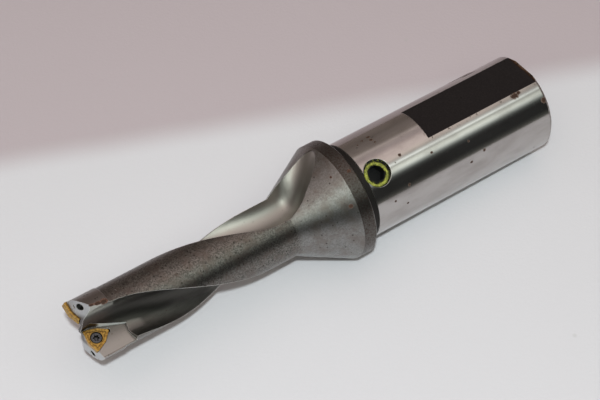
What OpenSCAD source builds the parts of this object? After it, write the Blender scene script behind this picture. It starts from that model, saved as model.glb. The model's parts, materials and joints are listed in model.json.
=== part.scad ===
// Indexable drill with a straight shank, two helical flutes and two trigon inserts.
// The axis is Z, the shank end stands at Z = 0 and the cutting end points up.
// The clamping flat faces -Y.

/* [Shank] */
// Diameter of the ground shank
shank_d = 32; // [25:0.5:40]
// Height of the collar's rear face above the shank end
shank_len = 72.8; // [60:0.2:90]
// Chamfer of the shank end
shank_chamfer = 1; // [0.5:0.1:2]
// Length of the clamping flat from the shank end
flat_len = 44; // [30:0.5:50]
// Depth of the clamping flat below the shank surface
flat_depth = 1.6; // [0.8:0.1:2.4]
// Length of the relieved neck behind the collar
neck_len = 3.5; // [2:0.1:4]
// Depth of the relieved neck below the shank surface
neck_depth = 0.3; // [0.2:0.05:0.8]

/* [Coolant] */
// Diameter of the threaded inlet in the shank end
inlet_d = 12; // [10:0.5:14]
// Depth of the threaded inlet
inlet_depth = 14; // [10:0.5:18]
// Diameter of the bore along the axis
bore_d = 8; // [6:0.5:9]
// Diameter of the side port and of its plug
plug_d = 9; // [7:0.1:10]
// Length of the plug
plug_len = 6.5; // [5:0.5:8]
// Depth of the plug's outer face below the shank surface
plug_recess = 1; // [0.6:0.1:2]
// Distance of the side port from the collar's rear face
plug_back = 7.7; // [7:0.1:14]
// Angle of the side port about the axis
plug_angle = -124; // [-180:1:180]
// Width across the flats of the plug's hexagon socket
plug_hex = 4.8; // [3:0.1:5.5]
// Diameter of the two coolant mouths in the drill's end
mouth_d = 2.2; // [1.5:0.1:2.6]

/* [Collar] */
// Diameter of the collar
collar_d = 38.7; // [36:0.1:50]
// Length of the collar's straight rim
rim_len = 4.7; // [3:0.1:8]
// Length of the cone between the rim and the fluted part
cone_len = 17.7; // [14:0.1:24]

/* [Fluted part] */
// Diameter of the fluted part
body_d = 19.7; // [19.2:0.1:21]
// Diameter of the drill head
head_d = 20.2; // [19.4:0.1:21.4]
// Length of the drill head
head_len = 9; // [7:0.1:12]
// Length from the end of the cone to the cutting end
flute_len = 71.3; // [60:0.1:90]
// Half width of a flute
flute_half = 6.6; // [6:0.1:7.4]
// Distance of the flute's root from the axis
flute_root = 2.1; // [1.8:0.05:3]
// Turn of the flutes per millimetre of length, in degrees
flute_rate = 2.5; // [1.8:0.02:2.7]
// Turn per millimetre of the central insert's flute inside the drill head
central_rate = 0.3; // [0:0.05:1]
// Turn per millimetre of the peripheral insert's flute inside the drill head
peripheral_rate = -1.2; // [-1.4:0.05:0]
// Turn per millimetre in the run-out on the cone
runout_rate = -0.9; // [-1:0.05:0]
// Rise of the flute's root per millimetre in the run-out
runout_slope = 1.48; // [1.2:0.02:1.8]

/* [Inserts] */
// Diameter of the circle inscribed in a trigon insert
insert_ic = 5.95; // [5.5:0.05:6.2]
// Thickness of an insert
insert_t = 2.38; // [2:0.02:2.6]
// Corner radius of an insert
insert_re = 0.4; // [0.2:0.05:0.8]
// Clearance angle of an insert's flanks
insert_relief = 7; // [5:1:11]
// Distance of the central insert from the axis
central_x = 3.4; // [3:0.05:3.6]
// Distance of the peripheral insert from the axis
peripheral_x = 6.9; // [6.7:0.05:7.2]
// Roll of the central insert in its rake plane
central_roll = -5; // [-8:0.5:0]
// Roll of the peripheral insert in its rake plane
peripheral_roll = 10; // [6:0.5:12]
// Angle of the central insert's direction about the axis
insert_angle = 159.2; // [150:0.2:170]
// Thread diameter of an insert screw
screw_d = 2.5; // [2:0.1:2.6]
// Head diameter of an insert screw
screw_head_d = 3.8; // [3.4:0.1:4]

/* [Hidden] */

steel = [0.62, 0.61, 0.60];
gold = [0.80, 0.62, 0.28];
dark_steel = [0.25, 0.25, 0.27];

round_fn = 96;
small_fn = 48;
eps = 0.01;
over = 1;
reach = 60;

shank_r = shank_d / 2;
neck_r = shank_r - neck_depth;
neck_z = shank_len - neck_len;
collar_r = collar_d / 2;
rim_chamfer = 0.35;
rim_z = shank_len + rim_len;
cone_z = rim_z + cone_len;
body_r = body_d / 2;
head_r = head_d / 2;
tip_z = cone_z + flute_len;
head_z = tip_z - head_len;

// Levels of the cutting end, down from the cutting edge of the peripheral insert.
peripheral_front = tip_z + 1;
central_front = tip_z + 0.2;
peripheral_end = tip_z - 0.1;
central_end = tip_z - 0.45;
peripheral_relief = 18;
central_relief = 3;
central_lean = 11;
peripheral_lean = 18;
lean_from = peripheral_x - 0.7;
lean_w = lean_from - 1.8;
end_lap = 4;
end_h = 20;
end_stock = 1.5;

// Flute path: turn about the axis, root radius and width of the channel at a height.
turn_blend = 6;
root_blend = 2.4;
turn_start = cone_z + 5.6;
turn_head = tip_z - 15.2;
turn_zero = -89.8;
runout_end = rim_z + 0.4;
runout_r = collar_r - 0.2;
runout_ax = 12.9;
ax_span = 5;
flute_ax = flute_half;
flute_over = 4;
arc_n = 20;
coarse_n = 40;
fine_n = 20;
flute_low = runout_end - 0.9;
flute_mid = turn_start + 3;
flute_top = tip_z + 3;

function blend(x, w) = (x + sqrt(x * x + w * w)) / 2;
function flute_turn(z, end_rate) = turn_zero + runout_rate * (z - turn_start)
    + (flute_rate - runout_rate) * blend(z - turn_start, turn_blend)
    + (end_rate - flute_rate) * blend(z - turn_head, turn_blend);
function root_rise(z) = runout_r - runout_slope * (z - runout_end) - flute_root;
function root_at(z) = flute_root + blend(root_rise(z), root_blend);
function ax_at(z) = flute_ax + (runout_ax - flute_ax) * min(1, max(0, root_rise(z) / ax_span + 1 / 2));
function station(i) = i <= fine_n ? flute_low + (flute_mid - flute_low) * i / fine_n
    : flute_mid + (flute_top - flute_mid) * (i - fine_n) / coarse_n;
function turned(p, a, z) = [p[0] * cos(a) - p[1] * sin(a), p[0] * sin(a) + p[1] * cos(a), z];
function flute_slice(root, ax) = concat(
    [[root + ax + flute_over, -flute_half], [root + ax + flute_over, flute_half]],
    [for (j = [0:arc_n]) let (t = 90 + 180 * j / arc_n) [root + ax + ax * cos(t), flute_half * sin(t)]]);

// Trigon outline: three corners of 80 degrees and three of 160 degrees, the sharp ones rounded.
corner_n = 5;
sharp = 80;
blunt = 160;
function trigon(ic, re) = [for (k = [0:2]) each concat(
    [for (j = [0:corner_n])
        let (a = 30 + 120 * k, t = a + (90 - sharp / 2) * (2 * j / corner_n - 1),
             c = ic / 2 / sin(sharp / 2) - re / sin(sharp / 2))
        [c * cos(a) + re * cos(t), c * sin(a) + re * sin(t)]],
    [[ic / 2 / sin(blunt / 2) * cos(90 + 120 * k), ic / 2 / sin(blunt / 2) * sin(90 + 120 * k)]])];

insert_taper = 1 - 2 * insert_t * tan(insert_relief) / insert_ic;
front_r = insert_ic / 2 / sin(blunt / 2);
sharp_r = insert_ic / 2 / sin(sharp / 2) - insert_re / sin(sharp / 2) + insert_re;
central_z = central_front - front_r * cos(central_roll);
peripheral_z = peripheral_front - front_r * cos(peripheral_roll);
pocket_gap = 0.05;
corner_back = 0.35;
corner_r = 0.75;
rake_step = 0.12;
screw_head_h = (screw_head_d - screw_d) / 2;
screw_sink = 0.35;
screw_end = 4.6;
screw_clear = 0.1;
socket_r = 1;
socket_n = 6;
socket_lobe = 0.27;
socket_depth = 0.8;
breaker_depth = 0.14;
breaker_land = 0.75;

// Bounds of the milled chip space in front of each insert.
space_h = 9;
central_inner = 0.45;
peripheral_inner = -1.2;
space_back = tip_z - 12.8;
space_slant = 3.7;
space_front = tip_z + 4;
space_foot = tip_z - 2.5;
space_bend = tip_z - 4.8;
space_reach = 13;
bend_x = 0.5;
ridge_x = 2.6;
ridge_rise = 0.7;
rear_fall = 2.2;

// Flat walls across from the inserts, which lean away from the axis towards the tip.
wall_x = 0.42;
central_open = 26.9;
peripheral_open = 12.4;
wall_lean = 16.7;
wall_back = 15;
wall_w = 4.5;
web_t = 1;

mouth_x = 5.6;
mouth_y = -5.95;
mouth_depth = 13;
mouth_over = 6;
mouth_tilt = 13;

// Turn of the bar's surface seam, clear of the clamping flat.
seam_angle = -22.5;
plug_z = shank_len - plug_back;
plug_out = shank_r - plug_recess;
plug_hex_depth = 3.2;
plug_point = 0.8;
bore_lap = 1;
bore_end = plug_z + bore_d / 2 - bore_lap;

// Turned outline of shank, neck, collar, cone, fluted part and head.
module turned_bar() {
    rotate([0, 0, seam_angle])
        rotate_extrude($fn = round_fn)
            polygon([[0, 0], [shank_r - shank_chamfer, 0], [shank_r, shank_chamfer], [shank_r, neck_z],
                     [neck_r, neck_z], [neck_r, shank_len], [collar_r - rim_chamfer, shank_len],
                     [collar_r, shank_len + rim_chamfer], [collar_r, rim_z], [body_r, cone_z],
                     [body_r, head_z], [head_r, head_z], [head_r, tip_z + end_stock], [0, tip_z + end_stock]]);
}

// One helical channel with its run-out on the cone.
module flute(end_rate) {
    n = fine_n + coarse_n;
    m = arc_n + 3;
    pts = [for (i = [0:n]) let (z = station(i)) each
        [for (p = flute_slice(root_at(z), ax_at(z))) turned(p, flute_turn(z, end_rate), z)]];
    sides = [for (i = [0:n - 1]) each [for (j = [0:m - 1]) each
        [[i * m + j, (i + 1) * m + j, (i + 1) * m + (j + 1) % m],
         [i * m + j, (i + 1) * m + (j + 1) % m, i * m + (j + 1) % m]]]];
    low = [for (j = [0:m - 1]) j];
    top = [for (j = [0:m - 1]) n * m + m - 1 - j];
    polyhedron(points = pts, faces = concat(sides, [low, top]), convexity = 6);
}

// Places something in an insert's rake plane: X outward, Y along the cut, Z along the axis.
module at_insert(side) {
    rotate([0, 0, insert_angle + 180 * side])
        children();
}

function insert_x(side) = side == 0 ? central_x : peripheral_x;
function insert_z(side) = side == 0 ? central_z : peripheral_z;
function insert_roll(side) = side == 0 ? central_roll : peripheral_roll;

// Moves to the centre of an insert's rake face, with the extrusion direction into the seat.
module on_rake(side) {
    at_insert(side)
        translate([insert_x(side), 0, insert_z(side)])
            rotate([90, 0, 0])
                rotate([0, 0, insert_roll(side)])
                    children();
}

// Flat milled chip space whose floor lies just below the rake face.
module chip_space(side) {
    inner = side == 0 ? -central_inner : -peripheral_inner;
    knee = max(inner, 0) + space_slant;
    at_insert(side)
        translate([0, -rake_step, 0])
            rotate([90, 0, 0])
                translate([0, 0, -space_h])
                    linear_extrude(height = space_h)
                        polygon([[inner, space_front], [inner, space_foot], [max(inner, 0) + bend_x, space_bend],
                                 [knee, space_back], [knee + ridge_x, space_back + ridge_rise],
                                 [knee + space_reach, space_back - rear_fall],
                                 [knee + space_reach, space_front]]);
}

// Pocket of an insert with its threaded hole and the relief at its rear corner.
module pocket(side) {
    grown = insert_ic + 2 * pocket_gap;
    on_rake(side) {
        linear_extrude(height = insert_t, scale = insert_taper)
            polygon(trigon(grown, insert_re));
        translate([0, 0, -over])
            linear_extrude(height = over + eps)
                polygon(trigon(grown, insert_re));
        rotate([0, 0, 270])
            translate([sharp_r - corner_back, 0, -over])
                cylinder(h = insert_t + over, r = corner_r, $fn = small_fn);
        translate([0, 0, insert_t - eps])
            cylinder(h = screw_end + screw_clear - insert_t + eps, d = screw_d, $fn = small_fn);
    }
}

// Sloping end face behind an insert.
module end_cut(side) {
    level = side == 0 ? central_end : peripheral_end;
    relief = side == 0 ? central_relief : peripheral_relief;
    lean = side == 0 ? central_lean : 0;
    at_insert(side)
        translate([central_x, -insert_t, level])
            rotate([relief, lean, 0])
                translate([-reach / 2, -reach / 2, 0])
                    cube([reach, reach / 2 + insert_t + end_lap, end_h]);
}

// Slope of the peripheral end face towards the middle, along the insert's inner edge.
module end_slope() {
    at_insert(1)
        translate([lean_from, -insert_t, peripheral_end])
            rotate([peripheral_relief, -peripheral_lean, 0])
                translate([-lean_w, -reach / 2, 0])
                    cube([lean_w, reach / 2 + insert_t + end_lap, end_h]);
}

// Flat cut that opens the wall across from an insert towards the tip and leaves a web at the axis.
module wall_cut(side) {
    at_insert(side)
        translate([wall_x, 0, tip_z])
            rotate([0, 0, side == 0 ? central_open : peripheral_open])
                rotate([0, -wall_lean, 0])
                    translate([0, side * web_t, -wall_back])
                        cube([wall_w, reach, 2 * wall_back]);
}

module coolant_mouth(side) {
    at_insert(side)
        translate([mouth_x, mouth_y, tip_z - mouth_depth])
            rotate([0, 0, atan2(mouth_y, mouth_x)])
                translate([0, -mouth_depth * tan(mouth_tilt), 0])
                    rotate([-mouth_tilt, 0, 0])
                        cylinder(h = mouth_depth + mouth_over, d = mouth_d, $fn = small_fn);
}

// Moves to the side port, with Z pointing outward.
module at_port() {
    rotate([0, 0, plug_angle])
        translate([0, 0, plug_z])
            rotate([0, 90, 0])
                children();
}

module drill_body() {
    color(steel)
        difference() {
            turned_bar();
            flute(peripheral_rate);
            rotate([0, 0, 180])
                flute(central_rate);
            end_slope();
            for (side = [0, 1]) {
                wall_cut(side);
                chip_space(side);
                pocket(side);
                end_cut(side);
                coolant_mouth(side);
            }
            translate([-reach / 2, -shank_r + flat_depth - reach, -over])
                cube([reach, reach, flat_len + over]);
            translate([0, 0, -over])
                cylinder(h = inlet_depth + over, d = inlet_d, $fn = round_fn);
            translate([0, 0, -over])
                cylinder(h = bore_end + over, d = bore_d, $fn = round_fn);
            at_port()
                cylinder(h = shank_r + over, d = plug_d, $fn = round_fn);
        }
}

module insert_body(side) {
    on_rake(side)
        difference() {
            linear_extrude(height = insert_t, scale = insert_taper)
                polygon(trigon(insert_ic, insert_re));
            translate([0, 0, -eps])
                linear_extrude(height = breaker_depth + eps)
                    polygon(trigon(insert_ic - 2 * breaker_land, insert_re / 2));
            translate([0, 0, -over])
                cylinder(h = insert_t + 2 * over, d = screw_d, $fn = small_fn);
            translate([0, 0, screw_sink])
                cylinder(h = screw_head_h, d1 = screw_head_d, d2 = screw_d, $fn = small_fn);
            translate([0, 0, -over])
                cylinder(h = over + screw_sink, d = screw_head_d, $fn = small_fn);
        }
}

module insert_screw(side) {
    on_rake(side)
        difference() {
            union() {
                translate([0, 0, screw_sink])
                    cylinder(h = screw_head_h, d1 = screw_head_d, d2 = screw_d, $fn = small_fn);
                translate([0, 0, screw_sink + screw_head_h])
                    cylinder(h = screw_end - screw_sink - screw_head_h, d = screw_d, $fn = small_fn);
            }
            for (k = [0:socket_n - 1])
                rotate([0, 0, 360 * k / socket_n])
                    translate([socket_r - socket_lobe, 0, screw_sink - eps])
                        cylinder(h = socket_depth, r = socket_lobe, $fn = small_fn);
            translate([0, 0, screw_sink - eps])
                cylinder(h = socket_depth, r = socket_r - socket_lobe, $fn = small_fn);
        }
}

module central_insert() {
    color(gold)
        insert_body(0);
}

module peripheral_insert() {
    color(gold)
        insert_body(1);
}

module central_insert_screw() {
    color(dark_steel)
        insert_screw(0);
}

module peripheral_insert_screw() {
    color(dark_steel)
        insert_screw(1);
}

module coolant_plug() {
    color(dark_steel)
        at_port()
            difference() {
                union() {
                    translate([0, 0, plug_out - plug_len + plug_point])
                        cylinder(h = plug_len - plug_point, d = plug_d, $fn = round_fn);
                    translate([0, 0, plug_out - plug_len])
                        cylinder(h = plug_point, d1 = plug_d - 2 * plug_point, d2 = plug_d, $fn = round_fn);
                }
                translate([0, 0, plug_out - plug_hex_depth])
                    cylinder(h = plug_hex_depth + over, d = plug_hex / cos(30), $fn = 6);
            }
}

drill_body();
central_insert();
peripheral_insert();
central_insert_screw();
peripheral_insert_screw();
coolant_plug();
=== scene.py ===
"""Looks of an indexable drill that lies on a pale table: worn steel, gold inserts, sealed side plug."""
import json
import math
from types import SimpleNamespace

import bmesh
import bpy
from mathutils import Matrix, Vector


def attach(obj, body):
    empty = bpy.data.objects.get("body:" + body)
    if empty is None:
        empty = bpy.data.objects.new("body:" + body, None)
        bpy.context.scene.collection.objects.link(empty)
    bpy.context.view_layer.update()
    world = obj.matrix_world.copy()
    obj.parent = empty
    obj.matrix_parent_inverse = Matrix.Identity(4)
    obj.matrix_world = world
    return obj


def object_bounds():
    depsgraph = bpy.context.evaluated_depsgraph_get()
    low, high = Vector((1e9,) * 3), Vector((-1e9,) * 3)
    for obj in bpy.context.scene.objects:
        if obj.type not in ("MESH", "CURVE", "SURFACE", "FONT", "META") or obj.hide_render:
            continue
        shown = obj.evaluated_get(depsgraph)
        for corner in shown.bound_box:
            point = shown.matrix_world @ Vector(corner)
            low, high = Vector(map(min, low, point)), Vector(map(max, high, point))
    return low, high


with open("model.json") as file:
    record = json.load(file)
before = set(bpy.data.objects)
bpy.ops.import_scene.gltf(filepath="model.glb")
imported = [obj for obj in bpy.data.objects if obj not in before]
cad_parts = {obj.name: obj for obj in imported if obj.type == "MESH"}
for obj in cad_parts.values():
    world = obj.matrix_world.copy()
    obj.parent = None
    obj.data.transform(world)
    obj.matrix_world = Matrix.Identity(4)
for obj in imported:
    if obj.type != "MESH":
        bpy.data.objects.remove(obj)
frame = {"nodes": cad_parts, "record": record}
cad_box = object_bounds()

MM = 0.001


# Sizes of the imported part, in millimetres

def mount(name):
    """The record's mount of that name."""
    return next(m for m in frame["record"]["mounts"] if m["name"] == name)


SHANK_R = mount("shank")["dims"]["r_mm"]
SHANK_LEN = mount("collar_seat")["pos_m"][2] / MM
SHANK_CHAMFER = 1.0
FLAT_Y = mount("clamping_flat")["pos_m"][1] / MM
FLAT_LEN = 44.0
NECK_Z = SHANK_LEN - 3.5
COLLAR_R = max(abs(v) for v in (cad_box[0].x, cad_box[1].x)) / MM
RIM_CHAMFER = 0.4
RIM_Z = SHANK_LEN + 4.7
CONE_Z = RIM_Z + 17.7
BODY_R = 9.85
TIP_Z = cad_box[1].z / MM
HEAD_R = 10.1
HEAD_Z = TIP_Z - 10.0
PORT_ANGLE = math.radians(-124.0)
PORT_Z = SHANK_LEN - 7.7
PLUG_OUT = SHANK_R - 1.0
# Angle about the axis at which the central insert lies, in degrees; the peripheral one lies opposite
INSERT_ANGLE = 159.2
# Distance from the axis and height of the inserts' screws
CENTRAL_SCREW = (3.4, TIP_Z - 3.8)
PERIPHERAL_SCREW = (6.9, TIP_Z - 3.0)
# Coolant mouths
MOUTH_X = 5.6
MOUTH_Y = -5.95
MOUTH_Z = TIP_Z - 1.0
MOUTH_R = 1.1
MOUTH_TILT = math.radians(13.0)


def outer_radius(z):
    """Radius of the turned outline at that height."""
    if z < SHANK_LEN:
        return SHANK_R
    if z < RIM_Z:
        return COLLAR_R
    if z < CONE_Z:
        return COLLAR_R + (BODY_R - COLLAR_R) * (z - RIM_Z) / (CONE_Z - RIM_Z)
    return BODY_R if z < HEAD_Z else HEAD_R


# The table that the drill lies on, touching the collar's rim and the shank's rear edge

UP_ANGLE = math.radians(-96.17)
TOUCH_Z = SHANK_LEN + RIM_CHAMFER
table_tilt = math.atan2(COLLAR_R - SHANK_R, TOUCH_Z - SHANK_CHAMFER)
table_up = Vector((
    math.cos(UP_ANGLE) * math.cos(table_tilt),
    math.sin(UP_ANGLE) * math.cos(table_tilt),
    math.sin(table_tilt),
))
rim_point = Vector((-math.cos(UP_ANGLE) * COLLAR_R, -math.sin(UP_ANGLE) * COLLAR_R, TOUCH_Z)) * MM
table_level = table_up.dot(rim_point)
drill_axis = Vector((0, 0, 1))
table_along = (drill_axis - table_up * drill_axis.dot(table_up)).normalized()
table_across = table_up.cross(table_along)


def on_table(along, across):
    """A point in the part's frame from its place on the table, in metres."""
    return table_up * table_level + table_along * along + table_across * across


def look_from(target, heading, elevation, distance):
    """A point that sees the target from that heading round the table and that height, in degrees."""
    turn = math.radians(heading)
    rise = math.radians(elevation)
    level = table_along * math.cos(turn) + table_across * math.sin(turn)
    return target + (level * math.cos(rise) + table_up * math.sin(rise)) * distance


# Camera at the photograph's place

CAMERA_HEADING = 55.08
CAMERA_ELEVATION = 52.95
CAMERA_DISTANCE = 0.6446
CAMERA_LENS = 119.36
CAMERA_SENSOR = 36.0
CAMERA_CLIP = (0.01, 20.0)
CAMERA_AIM = on_table(0.0756, -0.0180)


def make_camera():
    """The camera, upright over the table."""
    data = bpy.data.cameras.new("camera")
    data.lens = CAMERA_LENS
    data.sensor_width = CAMERA_SENSOR
    data.clip_start, data.clip_end = CAMERA_CLIP
    camera = bpy.data.objects.new("camera", data)
    bpy.context.collection.objects.link(camera)
    place = look_from(CAMERA_AIM, CAMERA_HEADING, CAMERA_ELEVATION, CAMERA_DISTANCE)
    back = (place - CAMERA_AIM).normalized()
    right = table_up.cross(back).normalized()
    up = back.cross(right)
    turn = Matrix((right, up, back)).transposed().to_4x4()
    camera.matrix_world = Matrix.Translation(place) @ turn
    bpy.context.scene.camera = camera


# Short calls for shader nodes

class Nodes:
    """The node tree of a material, of the world or of a node group."""

    def __init__(self, tree):
        self.tree = tree
        self.tree.nodes.clear()

    def add(self, kind, inputs=None, **settings):
        """A new node; inputs holds values or sockets by input name or number."""
        node = self.tree.nodes.new(kind)
        for name, value in settings.items():
            setattr(node, name, value)
        for name, value in (inputs or {}).items():
            self.put(node.inputs[name], value)
        return node

    def put(self, socket, value):
        """Sets a socket to a value, or links another socket to it."""
        if isinstance(value, bpy.types.NodeSocket):
            self.tree.links.new(value, socket)
        else:
            socket.default_value = value

    def math(self, operation, a, b=0.0, clamp=False):
        """Result of one math operation."""
        return self.add("ShaderNodeMath", {0: a, 1: b}, operation=operation, use_clamp=clamp).outputs[0]

    def many(self, operation, *values):
        """The operation over several values in turn."""
        result = values[0]
        for value in values[1:]:
            result = self.math(operation, result, value)
        return result

    def product(self, *values):
        """All the values multiplied."""
        return self.many("MULTIPLY", *values)

    def largest(self, *values):
        """The largest of the values."""
        return self.many("MAXIMUM", *values)

    def inverse(self, share):
        """One minus a share."""
        return self.math("SUBTRACT", 1.0, share)

    def vector(self, operation, a, b=(0.0, 0.0, 0.0)):
        """Vector result of one vector operation."""
        return self.add("ShaderNodeVectorMath", {0: a, 1: b}, operation=operation).outputs[0]

    def scaled(self, vector, factor):
        """A vector times a number."""
        return self.add("ShaderNodeVectorMath", {0: vector, "Scale": factor}, operation="SCALE").outputs[0]

    def dot(self, a, b):
        """Dot product of two vectors."""
        return self.add("ShaderNodeVectorMath", {0: a, 1: b}, operation="DOT_PRODUCT").outputs["Value"]

    def length(self, vector):
        """Length of a vector."""
        return self.add("ShaderNodeVectorMath", {0: vector}, operation="LENGTH").outputs["Value"]

    def step(self, value, low, high, start=0.0, end=1.0, kind="SMOOTHSTEP"):
        """Step from start to end as the value goes from low to high, smooth if no other kind is given."""
        node = self.add(
            "ShaderNodeMapRange",
            {"Value": value, "From Min": low, "From Max": high, "To Min": start, "To Max": end},
            interpolation_type=kind,
        )
        return node.outputs["Result"]

    def noise(self, vector, scale, detail=3.0, roughness=0.55):
        """Noise between 0 and 1."""
        node = self.add(
            "ShaderNodeTexNoise",
            {"Vector": vector, "Scale": scale, "Detail": detail, "Roughness": roughness},
        )
        return node.outputs["Fac"]

    def spots(self, vector, scale):
        """Distance to the nearest of scattered points, in cells, and a random number per cell."""
        node = self.add("ShaderNodeTexVoronoi", {"Vector": vector, "Scale": scale})
        lot = self.add("ShaderNodeSeparateColor", {0: node.outputs["Color"]})
        return node.outputs["Distance"], lot.outputs[0]

    def ramp(self, value, stops):
        """Colour from a ramp with (place, colour) stops."""
        node = self.add("ShaderNodeValToRGB", {"Fac": value})
        elements = node.color_ramp.elements
        while len(elements) < len(stops):
            elements.new(0.5)
        for element, (place, colour) in zip(elements, stops):
            element.position = place
            element.color = (*colour, 1.0)
        return node.outputs["Color"]

    def mix(self, share, a, b):
        """Colour between a and b."""
        node = self.add("ShaderNodeMix", data_type="RGBA")
        self.put(node.inputs[0], share)
        self.put(node.inputs[6], a if isinstance(a, bpy.types.NodeSocket) else (*a, 1.0))
        self.put(node.inputs[7], b if isinstance(b, bpy.types.NodeSocket) else (*b, 1.0))
        return node.outputs[2]

    def blend(self, share, a, b):
        """Number between a and b."""
        node = self.add("ShaderNodeMix", {0: share, 2: a, 3: b}, data_type="FLOAT")
        return node.outputs[0]

    def bump(self, height, strength, distance, normal=None):
        """Normal bent by a height field; distance is in metres."""
        node = self.add("ShaderNodeBump", {"Height": height, "Strength": strength, "Distance": distance})
        if normal is not None:
            self.put(node.inputs["Normal"], normal)
        return node.outputs["Normal"]


def new_material(name):
    """An empty material and its nodes."""
    material = bpy.data.materials.new(name)
    material.use_nodes = True
    return material, Nodes(material.node_tree)


def finish_material(nodes, inputs):
    """Gives the finished values to one surface shader."""
    shader = nodes.add("ShaderNodeBsdfPrincipled", inputs)
    nodes.put(nodes.add("ShaderNodeOutputMaterial").inputs["Surface"], shader.outputs[0])


# Table of white paper with a painted pinkish shadow over its far part

TABLE_SIZE = 1.6
TABLE_WHITE = (0.585, 0.545, 0.562)
# Painted pinkish shadow on the table's far part
TABLE_SHADOW = (0.422, 0.341, 0.354)
TABLE_SHADE = (0.525, 0.505, 0.52)
TABLE_SHADE_SHARE = 0.12
TABLE_SHADE_SCALE = 4.0
TABLE_ROUGHNESS = 0.75
# Place on the table, heading and softness of the painted shadow's edge, and how it wanders
SHADOW_EDGE_PLACE = (0.0552, -0.0473)
SHADOW_EDGE_TURN = -113.0
SHADOW_EDGE_SOFT = 0.007
WANDER_SCALE = 9.0
WANDER_REACH = 0.006
# Dust: points per metre, size in cells, random numbers that carry a speck, colour and share
DUST_SCALE = 45.0
DUST_EDGE = (0.05, 0.02)
DUST_LOT = (0.55, 0.6)
TABLE_DUST = (0.35, 0.33, 0.30)
DUST_SHARE = 0.25
# Paper's grain: waves per metre and detail, strength and depth in metres
PAPER = (900.0, 2.0)
PAPER_BUMP = (0.15, 0.0004)


def table_material():
    """White paper with a soft painted pinkish shadow over its far part, seen only from above."""
    material, nodes = new_material("table_paper")
    place = nodes.add("ShaderNodeTexCoord").outputs["Object"]
    split = nodes.add("ShaderNodeSeparateXYZ", {0: place})
    wander = nodes.math("SUBTRACT", nodes.noise(place, WANDER_SCALE), 0.5)
    edge = nodes.math("ADD", split.outputs["Y"], nodes.math("MULTIPLY", wander, WANDER_REACH))
    # Painted shadow over the far part, with an edge that wanders
    far_shadow = nodes.step(edge, -SHADOW_EDGE_SOFT, SHADOW_EDGE_SOFT)
    shade = nodes.math("MULTIPLY", nodes.noise(place, TABLE_SHADE_SCALE), TABLE_SHADE_SHARE)
    speck, lot = nodes.spots(place, DUST_SCALE)
    dust = nodes.product(nodes.step(speck, *DUST_EDGE), nodes.step(lot, *DUST_LOT), DUST_SHARE)
    colour = nodes.mix(far_shadow, TABLE_WHITE, TABLE_SHADOW)
    colour = nodes.mix(shade, colour, TABLE_SHADE)
    colour = nodes.mix(dust, colour, TABLE_DUST)
    normal = nodes.bump(nodes.noise(place, *PAPER), *PAPER_BUMP)
    paper = nodes.add(
        "ShaderNodeBsdfPrincipled", {"Base Color": colour, "Roughness": TABLE_ROUGHNESS, "Normal": normal}
    )
    clear = nodes.add("ShaderNodeBsdfTransparent")
    behind = nodes.add("ShaderNodeNewGeometry").outputs["Backfacing"]
    shown = nodes.add("ShaderNodeMixShader", {0: behind, 1: paper.outputs[0], 2: clear.outputs[0]})
    nodes.put(nodes.add("ShaderNodeOutputMaterial").inputs["Surface"], shown.outputs[0])
    return material


def make_table():
    """A flat table whose own Y axis points away across the painted shadow's edge."""
    half = TABLE_SIZE / 2
    mesh = bpy.data.meshes.new("table")
    corners = [(-half, -half, 0), (half, -half, 0), (half, half, 0), (-half, half, 0)]
    mesh.from_pydata(corners, [], [(0, 1, 2, 3)])
    table = bpy.data.objects.new("table", mesh)
    bpy.context.collection.objects.link(table)
    turn = math.radians(SHADOW_EDGE_TURN)
    away = table_along * math.cos(turn) + table_across * math.sin(turn)
    side = away.cross(table_up)
    axes = Matrix((side, away, table_up)).transposed().to_4x4()
    table.matrix_world = Matrix.Translation(on_table(*SHADOW_EDGE_PLACE)) @ axes
    mesh.materials.append(table_material())


# Lamp and surroundings

LAMP_HEADING = 55.0
LAMP_ELEVATION = 58.0
LAMP_DISTANCE = 0.80
LAMP_SIZE = 0.035
LAMP_POWER = 5.3
LAMP_COLOUR = (0.85, 0.98, 1.0)
# Light round the drill's axis: degrees from straight up, positive on the camera's side, and colour
SURROUNDINGS = (
    (-180, (0.62, 0.60, 0.60)),
    (-92, (0.24, 0.195, 0.175)),
    (-66, (0.20, 0.167, 0.148)),
    (-50, (0.255, 0.213, 0.195)),
    (-38, (0.33, 0.28, 0.25)),
    (-35, (0.45, 0.39, 0.36)),
    (-31, (0.72, 0.63, 0.59)),
    (-27, (0.62, 0.53, 0.505)),
    (-21, (0.58, 0.495, 0.48)),
    (-14, (0.67, 0.56, 0.54)),
    (-7, (0.92, 0.79, 0.74)),
    (4, (0.99, 0.85, 0.80)),
    (12, (1.00, 0.89, 0.81)),
    (16, (0.74, 0.67, 0.61)),
    (20, (0.80, 0.82, 0.78)),
    (23, (1.55, 1.65, 1.58)),
    (25, (1.50, 1.60, 1.53)),
    (28, (0.62, 0.66, 0.59)),
    (32, (1.15, 1.22, 1.11)),
    (37, (1.36, 1.47, 1.35)),
    (41, (1.02, 1.11, 1.04)),
    (45, (0.45, 0.50, 0.47)),
    (50, (0.10, 0.11, 0.105)),
    (57, (0.040, 0.041, 0.040)),
    (78, (0.036, 0.037, 0.036)),
    (86, (0.08, 0.082, 0.075)),
    (91, (0.19, 0.19, 0.175)),
    (97, (0.55, 0.55, 0.55)),
    (180, (0.62, 0.60, 0.60)),
)
# Share of that light towards the shank's end, the tip, and the tip on the far side,
# and the parts of a direction along and across the drill between which each sets in
REAR_SHARE = 0.2
REAR_ALONG = (-0.48, -0.64)
TIP_SHARE = 0.5
TIP_ALONG = (0.70, 0.85)
FAR_TIP_SHARE = 0.35
FAR_TIP_ALONG = (0.45, 0.68)
FAR_TIP_ACROSS = (0.42, -0.05)
# Soft glow round the lamp: light, and degrees from its middle where it ends and starts to fade
GLOW = 1.4
GLOW_EDGE = (16.0, 8.0)


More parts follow.
